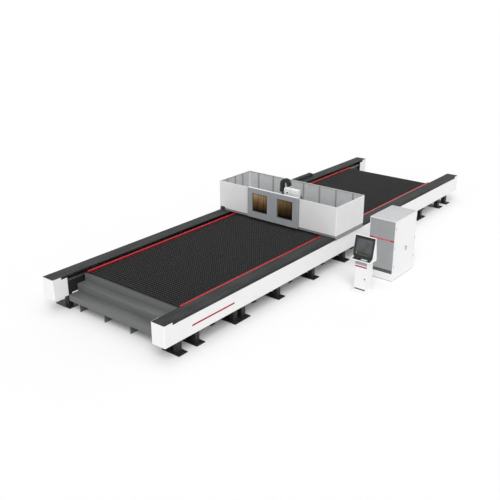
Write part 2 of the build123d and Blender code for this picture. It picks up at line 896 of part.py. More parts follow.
def make_cross_carriage():
    """Carriage plate with Z guides, its four blocks, the Y motor and the Y pinion."""
    y0 = carriage_y - carriage_plate_width / 2
    y1 = carriage_y + carriage_plate_width / 2
    plate = block(plate_front, plate_back, y0, y1, carriage_plate_bottom, carriage_plate_top)
    plate = fillet(plate.edges().filter_by(Axis.X), 40)
    drive_y = carriage_y + y_drive_offset
    plate -= Pos(plate_front + 15, drive_y, y_pinion_z) * Rot(0, 90, 0) * Cylinder(y_shaft_radius + 4, 60)
    low, high = y_drive_window_bottom, y_drive_window_top
    plate -= block(plate_front - 1, plate_back + 1, drive_y - 110, drive_y + 100, low, high)
    for y in (head_y - z_guide_spread / 2, head_y + z_guide_spread / 2):
        w = guide_width * 0.35
        x = plate_front - guide_height / 2
        plate += block(x, plate_front, y - w, y + w, z_guide_bottom, carriage_plate_top - 20)
    bx = z_chain_x
    far = z_chain_far
    top = z_chain_fixed_end
    plate += block(bx, plate_back, far - z_chain_height, far, top - chain_bracket, top)
    plate += block(plate_front, plate_back, far - z_chain_height, far, carriage_plate_top - 60, top)
    nodes["cross_carriage_plate"] = plate
    blocks = []
    for z in (y_guide_low, y_guide_high):
        for side in (-1, 1):
            y = carriage_y + side * y_block_spread / 2
            section = [(cross_beam_front - h, z + v) for v, h in block_section()]
            blocks.append(prism_xz(section, y - 70, y + 70))
    nodes["cross_guide_blocks"] = Compound(children=blocks)
    g = y_gearbox_size / 2
    m = y_motor_size / 2
    x0 = plate_front - y_gearbox_length
    drive = block(x0, plate_front, drive_y - g, drive_y + g, y_pinion_z - g, y_pinion_z + g)
    body = block(x0 - y_motor_length, x0, drive_y - m, drive_y + m, y_pinion_z - m, y_pinion_z + m)
    drive += chamfer(body.edges().filter_by(Axis.X), m * 0.3)
    nodes["y_drive"] = drive
    gear = prism_xy(gear_face(y_pinion_teeth, y_pinion_module), 0, y_pinion_height)
    length = cross_beam_front - 3 - y_pinion_height - plate_front - running_gap
    gear += Pos(0, 0, -length / 2) * Cylinder(y_shaft_radius, length)
    start = cross_beam_front - 3 - y_pinion_height
    nodes["y_pinion"] = Pos(start, drive_y, y_pinion_z) * Rot(0, 90, 0) * gear


def make_head():
    """Z slide, its housing and the cutting head with its nozzle."""
    half = z_slide_width / 2
    x = slide_front + z_slide_thickness
    slide = block(slide_front, x, head_y - half, head_y + half, z_slide_bottom, z_slide_top)
    for y in (head_y - z_guide_spread / 2, head_y + z_guide_spread / 2):
        w = guide_width * 0.35 + running_gap
        depth = plate_front - running_gap
        for z in (z_slide_bottom + 40, z_slide_bottom + 260):
            runner = block(x, depth, y - 45, y + 45, z, z + 120)
            face = plate_front - guide_height / 2 - running_gap
            runner -= block(face, depth + 1, y - w, y + w, z - 1, z + 121)
            slide += runner
    nodes["z_slide"] = slide
    far = z_chain_far - z_chain_width + z_chain_height
    y0 = far - housing_width
    housing = block(housing_front, slide_front, y0, far, housing_bottom, housing_top)
    housing = fillet(housing.edges().filter_by(Axis.Z), housing_corner)
    low = far - z_chain_height
    bracket = z_chain_moving_end - chain_bracket
    housing += block(z_chain_x - 60, z_chain_x + z_chain_depth, low, far, bracket, z_chain_moving_end)
    nodes["head_housing"] = housing
    cx = slide_front - head_axis_depth
    c = collimator_size / 2
    f = focus_size / 2
    body = block(cx - c, cx + c, head_y - c, head_y + c, collimator_bottom, housing_bottom)
    body += block(cx - f, slide_front, head_y - f, head_y + f, focus_bottom, collimator_bottom)
    cone_top = focus_bottom - neck_height
    cone_bottom = cone_top - cone_height
    neck = extrude(Pos(cx, head_y, cone_top) * RegularPolygon(neck_radius, 12), neck_height)
    cone = Plane(origin=(cx, head_y, cone_top), z_dir=(0, 0, -1)) * RegularPolygon(neck_radius, 12)
    slope = degrees(atan2(neck_radius * 0.5, cone_height))
    body += neck + extrude(cone, amount=cone_height, taper=slope)
    collar_bottom = cone_bottom - collar_height
    collar = extrude(Pos(cx, head_y, collar_bottom) * RegularPolygon(collar_radius, 12), collar_height)
    tip = Plane(origin=(cx, head_y, collar_bottom), z_dir=(0, 0, -1))
    tip_height = collar_bottom - nozzle_tip
    narrow = degrees(atan2(collar_radius * 0.75, tip_height))
    body += collar + extrude(tip * RegularPolygon(collar_radius, 12), amount=tip_height, taper=narrow)
    nodes["cutting_head"] = body


# Cable chains

def arch_face(outer, inner, z_centre, z_left, z_right, y_centre):
    """Upright arch of a cable chain in the YZ plane, with legs of unequal length."""
    steps = 16
    points = [(y_centre + outer, z_left)]
    for i in range(steps + 1):
        a = pi * i / steps
        points.append((y_centre + outer * cos(a), z_centre + outer * sin(a)))
    points += [(y_centre - outer, z_right), (y_centre - inner, z_right)]
    for i in range(steps, -1, -1):
        a = pi * i / steps
        points.append((y_centre + inner * cos(a), z_centre + inner * sin(a)))
    points.append((y_centre + inner, z_left))
    return points


def make_z_chain():
    """Arch of the Z cable chain, in two halves that meet at its crown."""
    outer = z_chain_width / 2
    inner = outer - z_chain_height
    z_centre = z_chain_top - outer
    y_centre = z_chain_far - outer
    points = arch_face(outer, inner, z_centre, z_chain_fixed_end, z_chain_moving_end, y_centre)
    arch = prism_yz(points, z_chain_x, z_chain_x + z_chain_depth)
    groove = 6.0
    for i in range(1, 12):
        a = pi * i / 12
        cut = block(z_chain_x - 1, z_chain_x + z_chain_depth + 1, outer - groove, outer + 2, -4, 4)
        place = Pos(0, y_centre, z_centre) * Rot(a * 180 / pi, 0, 0)
        if i != 6:
            arch -= place * cut
    count = int((z_centre - z_chain_fixed_end) / 60)
    for i in range(1, count + 1):
        z = z_centre - i * 60 + 30
        far = z_chain_far + 1
        arch -= block(z_chain_x - 1, z_chain_x + z_chain_depth + 1, far - groove - 1, far, z - 4, z + 4)
    big = 1000.0
    low, high = z_chain_fixed_end - big, z_chain_top + big
    apart = chain_gap / 2
    left = block(z_chain_x - 1, z_chain_x + big, y_centre + apart, y_centre + big, low, high)
    right = block(z_chain_x - 1, z_chain_x + big, y_centre - big, y_centre - apart, low, high)
    nodes["z_chain_fixed_half"] = arch & left
    nodes["z_chain_moving_half"] = arch & right


def make_x_chain():
    """Cable chain on top of the far rail: lower run on the cover, upper run to the gantry."""
    radius = x_chain_height / 2
    middle = cover_top + radius
    inner = radius - x_chain_link
    centre = x_chain_reach - radius
    y0 = x_chain_outer - x_chain_width

    def half(direction, start):
        steps = 6
        low = middle + direction * chain_gap / 2
        points = [(start, middle + direction * radius)]
        count = int((centre - start) / x_chain_pitch)
        for i in range(1, count):
            x = start + i * x_chain_pitch
            shallow = middle + direction * (radius - x_chain_notch)
            full = middle + direction * radius
            points += [(x - 5, full), (x - 5, shallow), (x + 5, shallow), (x + 5, full)]
        for i in range(steps):
            a = pi / 2 * (1 - i / steps)
            points.append((centre + radius * cos(a), middle + direction * radius * sin(a)))
        points += [(centre + radius, low), (centre + inner, low)]
        for i in range(steps - 1, -1, -1):
            a = pi / 2 * (1 - i / steps)
            points.append((centre + inner * cos(a), middle + direction * inner * sin(a)))
        points.append((start, middle + direction * inner))
        return prism_xz(points, y0, y0 + x_chain_width)

    nodes["x_chain_lower_run"] = half(-1, x_chain_fixed)
    nodes["x_chain_upper_run"] = half(1, carriage_front + carriage_length - 40)


# Console

def make_console():
    """Operator console: pedestal, door, desk hood, screen and keypad."""
    x0, x1 = console_front, console_front + console_depth
    half = console_width / 2
    y = console_centre
    body = block(x0, x1, y - half, y + half, console_base_thickness, console_body_top)
    body = fillet(body.edges().filter_by(Axis.Z), console_corner)
    door_half = half - console_door_margin
    d = console_door_thickness
    rebate = d + door_rest_gap
    low, high = console_door_bottom, console_door_top
    body -= block(x0 - 1, x0 + rebate, y - door_half - 2, y + door_half + 2, low - 2, high + 2)
    w = console_wall
    body -= block(x0 + d, x1 - w, y - door_half + w, y + door_half - w, low + w, high - w)
    body -= block(x0 - 1, x0 + 12, y - door_half + 10, y + door_half - 10, vent_bottom, vent_top)
    base_x = x0 - console_base_overhang
    b = console_base_width / 2
    body += block(base_x, base_x + console_base_length, y - b, y + b, 0, console_base_thickness)
    nodes["console_pedestal"] = body
    door = block(x0, x0 + d, y - door_half, y + door_half, console_door_bottom, console_door_top)
    knob_y = y - half + console_knob_inset
    nodes["console_door"] = door
    deep = console_knob_depth / 2
    rose = Pos(x0 - running_gap - deep, knob_y, console_knob_height) * Rot(0, 90, 0)
    knob = extrude(rose * RegularPolygon(console_knob_radius, 16), deep)
    long = console_knob_radius * 1.3
    bar = x0 - running_gap - deep
    height = console_knob_height
    knob += block(bar - deep, bar, knob_y - 5, knob_y + 5, height - long, height + long)
    nodes["console_door_knob"] = knob
    side = [
        (desk_front, desk_height - desk_lip),
        (desk_front, desk_height),
        (desk_front + 120, desk_height + 12),
        (screen_foot_x - 20, screen_foot_z),
        (screen_head_x - 20, screen_head_z),
        (screen_head_x + 25, screen_head_z + 8),
        (hood_back, console_body_top + 120),
        (hood_back, console_body_top),
        (console_front, console_body_top),
    ]
    h = console_hood_width / 2
    hood = prism_xz(side, y - h, y + h)
    c = console_cheek
    inset = [
        (desk_front - 1, desk_height - 6),
        (screen_foot_x + 2, desk_height - 6),
        (screen_head_x + 2, screen_head_z - 14),
        (screen_head_x - 120, screen_head_z + 60),
        (desk_front - 1, screen_head_z + 60),
    ]
    hood -= prism_xz(inset, y - h + c, y + h - c)
    nodes["console_hood"] = hood
    foot = Vector(screen_foot_x + 2, desk_height - 6)
    top = Vector(screen_head_x + 2, screen_head_z - 14)
    slope = (top - foot).normalized()
    foot += slope * 12
    top -= slope * 8
    out = Vector(-slope.Y, slope.X) * screen_thickness
    panel = [(p.X, p.Y) for p in (foot, top, top + out, foot + out)]
    nodes["console_screen"] = prism_xz(panel, y - h + c + 2, y + h - c - 2)
    kx = desk_front + 25
    kz = desk_height - 6
    k = keypad_width / 2
    keypad = block(kx, kx + keypad_length * 0.6, y - 90 - k, y - 90 + k, kz, kz + keypad_thickness)
    nodes["console_keypad"] = chamfer(keypad.edges().group_by(Axis.Z)[-1], 4)


# Cabinet

def make_cabinet():
    """Source cabinet: carcass, front panel with its grille, two side doors and a handle."""
    x0, x1 = cabinet_front, cabinet_back
    y0, y1 = cabinet_near, cabinet_far
    w = cabinet_wall
    carcass = block(x0, x1, y0, y1, cabinet_foot, cabinet_height)
    carcass = fillet(carcass.edges().filter_by(Axis.Z), cabinet_corner)
    t = side_door_thickness
    m = side_door_margin
    rebate = t + door_rest_gap
    carcass -= block(x0 + m - 2, x1 - m + 2, y0 - 1, y0 + rebate, side_door_bottom - 2, side_door_top + 2)
    carcass -= block(x0 + m + w, x1 - m - w, y0 + t - 1, y1 - w, side_door_bottom + w, side_door_top - w)
    inset = cabinet_foot_inset
    carcass += block(x0 + inset, x1 - inset, y0 + inset, y1 - inset, 0, cabinet_foot)
    nodes["cabinet_carcass"] = carcass
    gap = front_panel_inset
    p = front_panel_proud
    panel = block(x0 - p, x0, y0 + gap, y1 - gap, front_panel_bottom, cabinet_height - gap)
    pitch = (grille_top - front_panel_bottom) / grille_slots
    for i in range(grille_slots):
        z = front_panel_bottom + (i + 0.25) * pitch
        panel -= block(x0 - p - 1, x0 - 1, y0 + gap + 15, y1 - gap - 15, z, z + pitch / 2)
    nodes["cabinet_front_panel"] = panel
    middle = (x0 + x1) / 2
    g = side_door_gap / 2
    front_door = block(x0 + m, middle - g, y0, y0 + t, side_door_bottom, side_door_top)
    rear_door = block(middle + g, x1 - m, y0, y0 + t, side_door_bottom, side_door_top)
    hx = middle + handle_inset
    nodes["cabinet_front_door"] = front_door
    nodes["cabinet_rear_door"] = rear_door
    hub = Pos(hx, y0 - (handle_depth + running_gap) / 2, handle_height) * Rot(90, 0, 0)
    handle = hub * Cylinder(handle_width / 2 + 3, handle_depth - running_gap)
    low = handle_height - handle_length
    half = handle_width / 2
    grip = block(hx - half, hx + half, y0 - handle_depth, y0 - handle_depth + 12, low, handle_height)
    grip = chamfer(grip.edges().group_by(Axis.Z)[0].filter_by(Axis.Y), half * 0.6)
    nodes["cabinet_handle"] = handle + grip


def write_nodes():
    """Moves every node to the common origin and writes one file for each."""
    os.makedirs("parts", exist_ok=True)
    for name, shape in nodes.items():
        moved = Pos(-origin.X, -origin.Y, -origin.Z) * shape
        moved.label = name
        export_step(moved, f"parts/{name}.step")


make_rails()
make_legs()
make_bed_frame()
make_slats()
make_bed_trim()
make_steps()
make_end_carriages()
make_cross_beam()
make_x_drives()
make_enclosure()
make_skirt()
make_doors()
make_cross_carriage()
make_head()
make_z_chain()
make_x_chain()
make_console()
make_cabinet()
write_nodes()
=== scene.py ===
"""Looks of a large-format gantry laser cutting machine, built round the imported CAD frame."""

import math

import bmesh
import bpy
from mathutils import Matrix, Vector


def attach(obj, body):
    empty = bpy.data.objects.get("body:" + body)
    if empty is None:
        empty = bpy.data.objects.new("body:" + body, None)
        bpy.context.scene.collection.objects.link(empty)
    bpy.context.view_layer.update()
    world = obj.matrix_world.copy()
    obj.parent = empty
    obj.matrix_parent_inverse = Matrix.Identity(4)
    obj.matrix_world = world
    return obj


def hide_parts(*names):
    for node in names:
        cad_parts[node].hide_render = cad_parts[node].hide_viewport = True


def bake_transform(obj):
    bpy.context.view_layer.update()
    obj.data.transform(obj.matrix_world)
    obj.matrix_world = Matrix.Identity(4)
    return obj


# Camera fitted to the photograph's straight edges: 50 mm class lens, no shift, no roll.
RAIL_LENGTH = 16.4
ROW_X = -RAIL_LENGTH / 2
ROW_Y = 0.860
AZIMUTH, ELEVATION = -51.33, 21.79
LENS = 51.97
CAMERA_AT = (-10.38663 + ROW_X, -13.18006 + ROW_Y, 8.90938)

# Even light: strength of the sky and of the soft sun.
SKY = 0.62
SUN = 1.45

# Places that several pieces share, in millimetres from the rails' front end and centreline.
LEG_PITCH = 1755
SLAT_PITCH, SLAT_COUNT = 90, 153
X_CHAIN_PITCH = 90
LINING_FOOT, LINING_TOP = 1150, 2020
RIM_FOOT, RIM_TOP = 2022.5, 2027
RIB_HALF = 21.5

FINISHES = {}


def row(x, y, z):
    """A point given in millimetres from the rails' front end and centreline, in the row frame."""
    return Vector((x / 1000 + ROW_X, y / 1000 + ROW_Y, z / 1000))


def make_camera():
    """The photograph's camera."""
    a, e = math.radians(AZIMUTH), math.radians(ELEVATION)
    back = Vector((math.sin(a) * math.cos(e), -math.cos(a) * math.cos(e), math.sin(e)))
    data = bpy.data.cameras.new("camera")
    camera = bpy.data.objects.new("camera", data)
    bpy.context.scene.collection.objects.link(camera)
    camera.location = CAMERA_AT
    camera.rotation_mode = "QUATERNION"
    camera.rotation_quaternion = (-back).to_track_quat("-Z", "Y")
    data.lens = LENS
    data.sensor_width = 36
    data.clip_start, data.clip_end = 0.1, 200
    bpy.context.scene.camera = camera


# Materials: every finish is made of nodes, with its colour given as it looks on screen.

def linear(hex_colour):
    """Linear RGBA of an sRGB hex colour."""
    out = []
    for i in (0, 2, 4):
        c = int(hex_colour.lstrip("#")[i:i + 2], 16) / 255
        out.append(c / 12.92 if c <= 0.04045 else ((c + 0.055) / 1.055) ** 2.4)
    return (*out, 1.0)


def add(tree, kind, settings=None, links=None, attributes=None):
    """Adds a node: settings fill its inputs, attributes its properties, and links feed its inputs."""
    made = tree.nodes.new(kind)
    for key, value in (attributes or {}).items():
        setattr(made, key, value)
    for key, value in (settings or {}).items():
        made.inputs[key].default_value = value
    for key, (source, output) in (links or {}).items():
        tree.links.new(source.outputs[output], made.inputs[key])
    return made


def finish(name, colour, rough=0.5, metal=0.0, ior=1.5, vary=0.04, grain_mm=40, bump=0.0, bump_mm=1.0, stretch=None,
           coat=0.0, second=None, share=0.5, spread=0.1, shine=0.5, tips=None):
    """A procedural finish: base colour with soft unevenness, grain for the surface and a small relief.
    grain_mm is the size of the unevenness and bump_mm of the relief; stretch draws both out along an axis.
    tips gives two heights in metres and the lighter colour blended into the upper one."""
    material = bpy.data.materials.new(name)
    material.use_nodes = True
    tree = material.node_tree
    tree.nodes.clear()
    place = add(tree, "ShaderNodeTexCoord")
    mapping = add(tree, "ShaderNodeMapping", {"Scale": stretch or (1, 1, 1)}, {"Vector": (place, "Object")})
    cloud = add(tree, "ShaderNodeTexNoise", {"Scale": 1000 / grain_mm, "Detail": 4.0, "Roughness": 0.55},
                {"Vector": (mapping, "Vector")})
    base = linear(colour)
    other = linear(second) if second else base
    low = tuple(max(0, c * (1 - vary)) for c in base[:3]) + (1,)
    high = tuple(min(1, c * (1 + vary)) for c in other[:3]) + (1,)
    ramp = add(tree, "ShaderNodeValToRGB", links={"Fac": (cloud, "Fac")})
    ramp.color_ramp.elements[0].position = share - spread
    ramp.color_ramp.elements[1].position = share + spread
    ramp.color_ramp.elements[0].color = low
    ramp.color_ramp.elements[1].color = high
    roughness = add(tree, "ShaderNodeMapRange", {"From Min": 0.3, "From Max": 0.7, "To Min": max(0.02, rough - 0.05),
                    "To Max": min(1, rough + 0.05)}, {"Value": (cloud, "Fac")})
    colour_from = (ramp, "Color")
    if tips:
        low_tip, high_tip, tip_colour = tips
        apart = add(tree, "ShaderNodeSeparateXYZ", links={0: (place, "Object")})
        rise = add(tree, "ShaderNodeMapRange", {"From Min": low_tip, "From Max": high_tip},
                   {"Value": (apart, "Z")})
        blend = add(tree, "ShaderNodeMix", {7: linear(tip_colour)}, {0: (rise, "Result"), 6: (ramp, "Color")},
                    {"data_type": "RGBA"})
        colour_from = (blend, 2)
    shader = add(tree, "ShaderNodeBsdfPrincipled",
                 {"Metallic": metal, "IOR": ior, "Coat Weight": coat, "Specular IOR Level": shine},
                 {"Base Color": colour_from, "Roughness": (roughness, "Result")})
    if bump:
        relief = add(tree, "ShaderNodeTexNoise", {"Scale": 1000 / bump_mm, "Detail": 2.0},
                     {"Vector": (mapping, "Vector")})
        height = add(tree, "ShaderNodeBump", {"Strength": bump, "Distance": 0.001},
                     {"Height": (relief, "Fac")})
        tree.links.new(height.outputs["Normal"], shader.inputs["Normal"])
    add(tree, "ShaderNodeOutputMaterial", links={"Surface": (shader, "BSDF")})
    return material


# Modelling by hand: a primitive at its place, shaped in edit mode.

def only(piece):
    """Leaves one piece selected and active, in object mode."""
    if bpy.context.object and bpy.context.object.mode == "EDIT":
        bpy.ops.object.mode_set(mode="OBJECT")
    bpy.ops.object.select_all(action="DESELECT")
    if piece:
        piece.select_set(True)
        bpy.context.view_layer.objects.active = piece
    return piece


def named(name):
    """The primitive just added, with its name and its place in its mesh."""
    piece = bpy.context.object
    piece.name = piece.data.name = name
    bpy.ops.object.transform_apply(location=True, rotation=True, scale=True)
    return piece


def pick(piece, wanted, kind="FACE"):
    """Edit mode with only the faces, edges or vertices selected that the test wants."""
    only(piece)
    bpy.ops.object.mode_set(mode="EDIT")
    bpy.ops.mesh.select_mode(type=kind)
    bpy.ops.mesh.select_all(action="DESELECT")
    mesh = bmesh.from_edit_mesh(piece.data)
    mesh.normal_update()
    for part in {"FACE": mesh.faces, "EDGE": mesh.edges, "VERT": mesh.verts}[kind]:
        part.select_set(bool(wanted(part)))
    mesh.select_flush_mode()
    bmesh.update_edit_mesh(piece.data)


def done(piece, angle=30):
    """Back to object mode, faces outward and smooth over shallow corners."""
    bpy.ops.object.mode_set(mode="EDIT")
    bpy.ops.mesh.select_all(action="SELECT")
    bpy.ops.mesh.normals_make_consistent(inside=False)
    bpy.ops.object.mode_set(mode="OBJECT")
    bpy.ops.object.shade_smooth_by_angle(angle=math.radians(angle))
    return piece


def block(name, low, high, edge=1.0, segments=2):
    """A block between two corners in rail millimetres, with its edges broken by a bevel."""
    only(None)
    low, high = row(*low), row(*high)
    bpy.ops.mesh.primitive_cube_add(size=1, location=(low + high) / 2, scale=high - low)
    piece = named(name)
    pick(piece, lambda edge: True, "EDGE")
    bpy.ops.mesh.bevel(offset=edge / 1000, segments=segments, affect="EDGES")
    return done(piece)


def frame_bar(name, low, high, bar, axis, edge=0.0015):
    """A flat frame: a block whose two broad faces are inset and bridged through."""
    only(None)
    low, high = row(*low), row(*high)
    bpy.ops.mesh.primitive_cube_add(size=1, location=(low + high) / 2, scale=high - low)
    piece = named(name)
    pick(piece, lambda face: abs(face.normal[axis]) > 0.9)
    bpy.ops.mesh.inset(thickness=bar / 1000, use_individual=True)
    bpy.ops.mesh.bridge_edge_loops()
    pick(piece, lambda edge: edge.calc_face_angle(0) > 1, "EDGE")
    bpy.ops.mesh.bevel(offset=edge, segments=1, affect="EDGES")
    return done(piece)


def turned(name, at, steps, sides=24, turn=(0, 0, 0)):
    """A turned part: a disc drawn up through radii and heights, in millimetres, from its foot."""
    only(None)
    at = row(*at)
    up = Matrix.Rotation(turn[1], 3, "Y") @ Matrix.Rotation(turn[0], 3, "X") @ Vector((0, 0, 1))
    radius, height = steps[0]
    bpy.ops.mesh.primitive_circle_add(vertices=sides, radius=radius / 1000, fill_type="NGON",
                                      location=at + up * height / 1000, rotation=turn)
    piece = named(name)
    pick(piece, lambda face: True)
    for wide, high in steps[1:]:
        bpy.ops.mesh.extrude_region_move(TRANSFORM_OT_translate={"value": up * (high - height) / 1000})
        if wide != radius:
            bpy.ops.transform.resize(value=[wide / radius] * 3, center_override=at + up * high / 1000)
        radius, height = wide, high
    return done(piece)


def repeat(piece, count, step):
    """An applied Array of the piece, with a step in millimetres."""
    only(piece)
    bpy.ops.object.modifier_add(type="ARRAY")
    array = piece.modifiers[-1]
    array.count = count
    array.use_relative_offset = False
    array.use_constant_offset = True
    array.constant_offset_displace = Vector(step) / 1000
    bpy.ops.object.modifier_apply(modifier=array.name)
    return piece


def copy_to(piece, shift, turn=None):
    """A copy with its own mesh, turned about the origin and moved, in metres."""
    only(piece)
    bpy.ops.object.duplicate()
    made = bpy.context.object
    if turn:
        made.rotation_euler = turn
    made.location = shift
    bpy.ops.object.transform_apply(location=True, rotation=True, scale=True)
    return made


def move(piece, shift, turn=None):
    """The piece itself turned about the origin and moved, in metres."""
    only(piece)
    if turn:
        piece.rotation_euler = turn
    piece.location = shift
    bpy.ops.object.transform_apply(location=True, rotation=True, scale=True)
    return piece


def join(name, pieces):
    """Several meshes as one piece."""
    only(pieces[0])
    for piece in pieces:
        piece.select_set(True)
    if len(pieces) > 1:
        bpy.ops.object.join()
    pieces[0].name = pieces[0].data.name = name
    return pieces[0]


def at_places(piece, places):
    """The piece joined with a copy of it at every other shift, in millimetres."""
    name = piece.name
    return join(name, [piece] + [copy_to(piece, Vector(place) / 1000) for place in places])


def settle(piece, body, finish_name, stands_for=()):
    """Gives a finished piece its finish and the body it moves with."""
    piece.data.materials.clear()
    piece.data.materials.append(FINISHES[finish_name])
    if stands_for:
        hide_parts(*stands_for)
    if body:
        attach(piece, body)
    return piece


# Rails

def leg_places():
    """X of every single foot plate, and of the wide ones."""
    middle = 8200
    singles = [630, 1270] + [middle + i * LEG_PITCH for i in range(-2, 3)] + [15130, 15770]
    return singles, [middle - 3 * LEG_PITCH, middle + 3 * LEG_PITCH]


def make_rail_details():
    """Red stripe, cover straps, beads and screws, rack teeth and foot bolts."""
    only(None)
    bpy.ops.mesh.primitive_cube_add(size=1, location=row((934 + 2545) / 2, -2310.6, 677),
                                    scale=(1.611, 0.0012, 0.046))
    stripe = named("side_stripe")
    pick(stripe, lambda edge: abs(edge.verts[0].co.z - edge.verts[1].co.z) < 0.001
         and edge.verts[0].co.z > 0.68 and abs(edge.verts[0].co.x - edge.verts[1].co.x) > 1, "EDGE")
    bpy.ops.transform.translate(value=(0.02, 0, 0))
    settle(done(stripe), "bed_and_rails", "guard_red")
    for side, end, inner, outer in (("near", -1, -1874, -2298), ("far", 1, 1874, 2106)):
        low, high = sorted((inner, outer))
        strap = block("strap", (1100, low, 1024.6), (1150, high, 1027.2), 1.2)
        strap = repeat(strap, 9, (LEG_PITCH, 0, 0))
        head = turned("screw", (1125, low + 24, 1026.8), [(8, 0), (8, 2.4), (5, 3.6)], 12)
        rows = [copy_to(head, (0, (high - low - 48) / 1000, 0)), copy_to(head, (0, (high - low) / 2000, 0))]
        heads = repeat(join("screws", [head] + rows), 9, (LEG_PITCH, 0, 0))
        settle(join(side + "_cover_straps", [strap, heads]), "bed_and_rails", "cover_dark")
        bead = block("bead", (30, end * 1886 - 5, 1024.4), (16370, end * 1886 + 5, 1027.6), 1.4)
        beads = [bead]
        if end < 0:
            beads.append(copy_to(bead, (0, -0.400, 0)))
        settle(join(side + "_cover_beads", beads), "bed_and_rails", "cover_dark")
        pan = turned("pan", (560, end * 2310, 470), [(7, -1), (7, 1.8), (4.5, 3)], 12,
                     (math.pi / 2 * -end, 0, 0))
        pan = at_places(pan, [(0, 0, 452)])
        settle(named_as(repeat(pan, 18, (897, 0, 0)), side + "_cladding_screws"), "bed_and_rails", "white_paint")
    make_rack_teeth()
    make_foot_bolts()


def named_as(piece, name):
    """The piece under a new name."""
    piece.name = piece.data.name = name
    return piece


def make_rack_teeth():
    """Both gear racks, with teeth cut back from the pinions' side."""
    pitch = math.pi * 4
    bar = block("bar", (60, 1907.5, 830), (16340, 1937, 870), 0.8)
    only(None)
    bpy.ops.mesh.primitive_cube_add(size=1, location=row(60 + pitch, 1902.4, 850),
                                    scale=(pitch * 0.74 / 1000, 0.0105, 0.0396))
    tooth = named("tooth")
    pick(tooth, lambda face: face.normal.y < -0.9)
    bpy.ops.transform.resize(value=(0.35, 1, 1))
    tooth = repeat(done(tooth), 1293, (pitch, 0, 0))
    far = join("far_rack", [bar, tooth])
    only(far)
    near = copy_to(far, (0, 0, 0))
    only(near)
    bpy.ops.object.mode_set(mode="EDIT")
    bpy.ops.mesh.select_all(action="SELECT")
    bpy.ops.transform.resize(value=(1, -1, 1), center_override=row(0, 0, 0))
    done(near)
    settle(join("toothed_racks", [far, near]), "bed_and_rails", "steel_bright", ["gear_racks"])


def make_foot_bolts():
    """Washer, hexagon head and stud end at both ends of every foot plate."""
    washer = turned("foot_bolts", (0, 0, 25), [(19, 0), (19, 3), (16, 3.6)], 16)
    head = turned("head", (0, 0, 28), [(15, 0), (15, 11), (12.5, 13)], 6)
    stud = turned("stud", (0, 0, 40), [(7, 0), (7, 15), (5.5, 17)], 10)
    bolt = join("foot_bolts", [washer, head, stud])
    singles, wides = leg_places()
    places = singles + [x + s for x in wides for s in (-240, 240)]
    shifts = []
    for x in places:
        for rail in (-1985, 2185):
            for y in (-260, 260):
                shifts.append((x, rail + y, 0))
    only(bolt)
    bpy.ops.transform.translate(value=Vector(shifts[0]) / 1000)
    bpy.ops.object.transform_apply(location=True)
    first = Vector(shifts[0])
    at_places(bolt, [Vector(shift) - first for shift in shifts[1:]])
    settle(bolt, "bed_and_rails", "steel_dark")


# Bed

def make_toothed_slats():
    """The bed's slats with their sawtooth tops: one slat, then the row of them."""
    half, teeth, x = 1737, 48, 1192.5
    only(None)
    bpy.ops.mesh.primitive_plane_add(size=1, location=row(x, 0, 885), rotation=(0, math.pi / 2, 0))
    slat = bpy.context.object
    slat.scale = (0.110, 2 * half / 1000, 1)
    named("toothed_slats")
    pick(slat, lambda edge: abs(edge.verts[0].co.y - edge.verts[1].co.y) > 1, "EDGE")
    bpy.ops.mesh.subdivide(number_cuts=2 * teeth - 1)
    step = half / teeth / 1000
    pick(slat, lambda vert: vert.co.z > 0.9 and round((vert.co.y - ROW_Y + half / 1000) / step) % 2 == 0, "VERT")
    bpy.ops.transform.translate(value=(0, 0, -0.026))
    pick(slat, lambda face: True)
    bpy.ops.mesh.extrude_region_move(TRANSFORM_OT_translate={"value": (0.005, 0, 0)})
    done(slat, 20)
    repeat(slat, SLAT_COUNT, (SLAT_PITCH, 0, 0))
    settle(slat, "bed_and_rails", "steel_dark", ["slats"])


def make_bed_details():
    """Combs beside the slats, guard caps and bolts, step nosings and the landing mat."""
    comb = block("comb", (1199, -1736.4, 831), (1281, -1730, 862), 0.8, 1)
    comb = repeat(comb, SLAT_COUNT, (SLAT_PITCH, 0, 0))
    other = copy_to(comb, (0, 3.4664, 0))
    settle(join("slat_combs", [comb, other]), "bed_and_rails", "steel_dark")
    caps = [block("cap", (1121, low, 961.6), (14949, low + 84, 965.6), 1.5) for low in (-1796, 1712)]
    settle(join("guard_caps", caps), "bed_and_rails", "guard_red")
    bolt = turned("bolt", (1320, -1762, 965), [(9, -0.5), (9, 4), (6.5, 5.4)], 6)
    bolt = at_places(bolt, [(0, 3524, 0)])
    settle(named_as(repeat(bolt, 34, (405, 0, 0)), "guard_bolts"), "bed_and_rails", "steel_bright")
    nose = block("tread_nosings", (477.5, -1850, 450.6), (505, 1850, 452.8), 1.0)
    second = copy_to(nose, (0.310, 0, 0.224))
    settle(join("tread_nosings", [nose, second]), "bed_and_rails", "step_grey")
    mat = block("landing_mat", (1067, -1850, 911.6), (1119, 1850, 914.4), 0.8)
    settle(mat, "bed_and_rails", "handle_black")


# Gantry

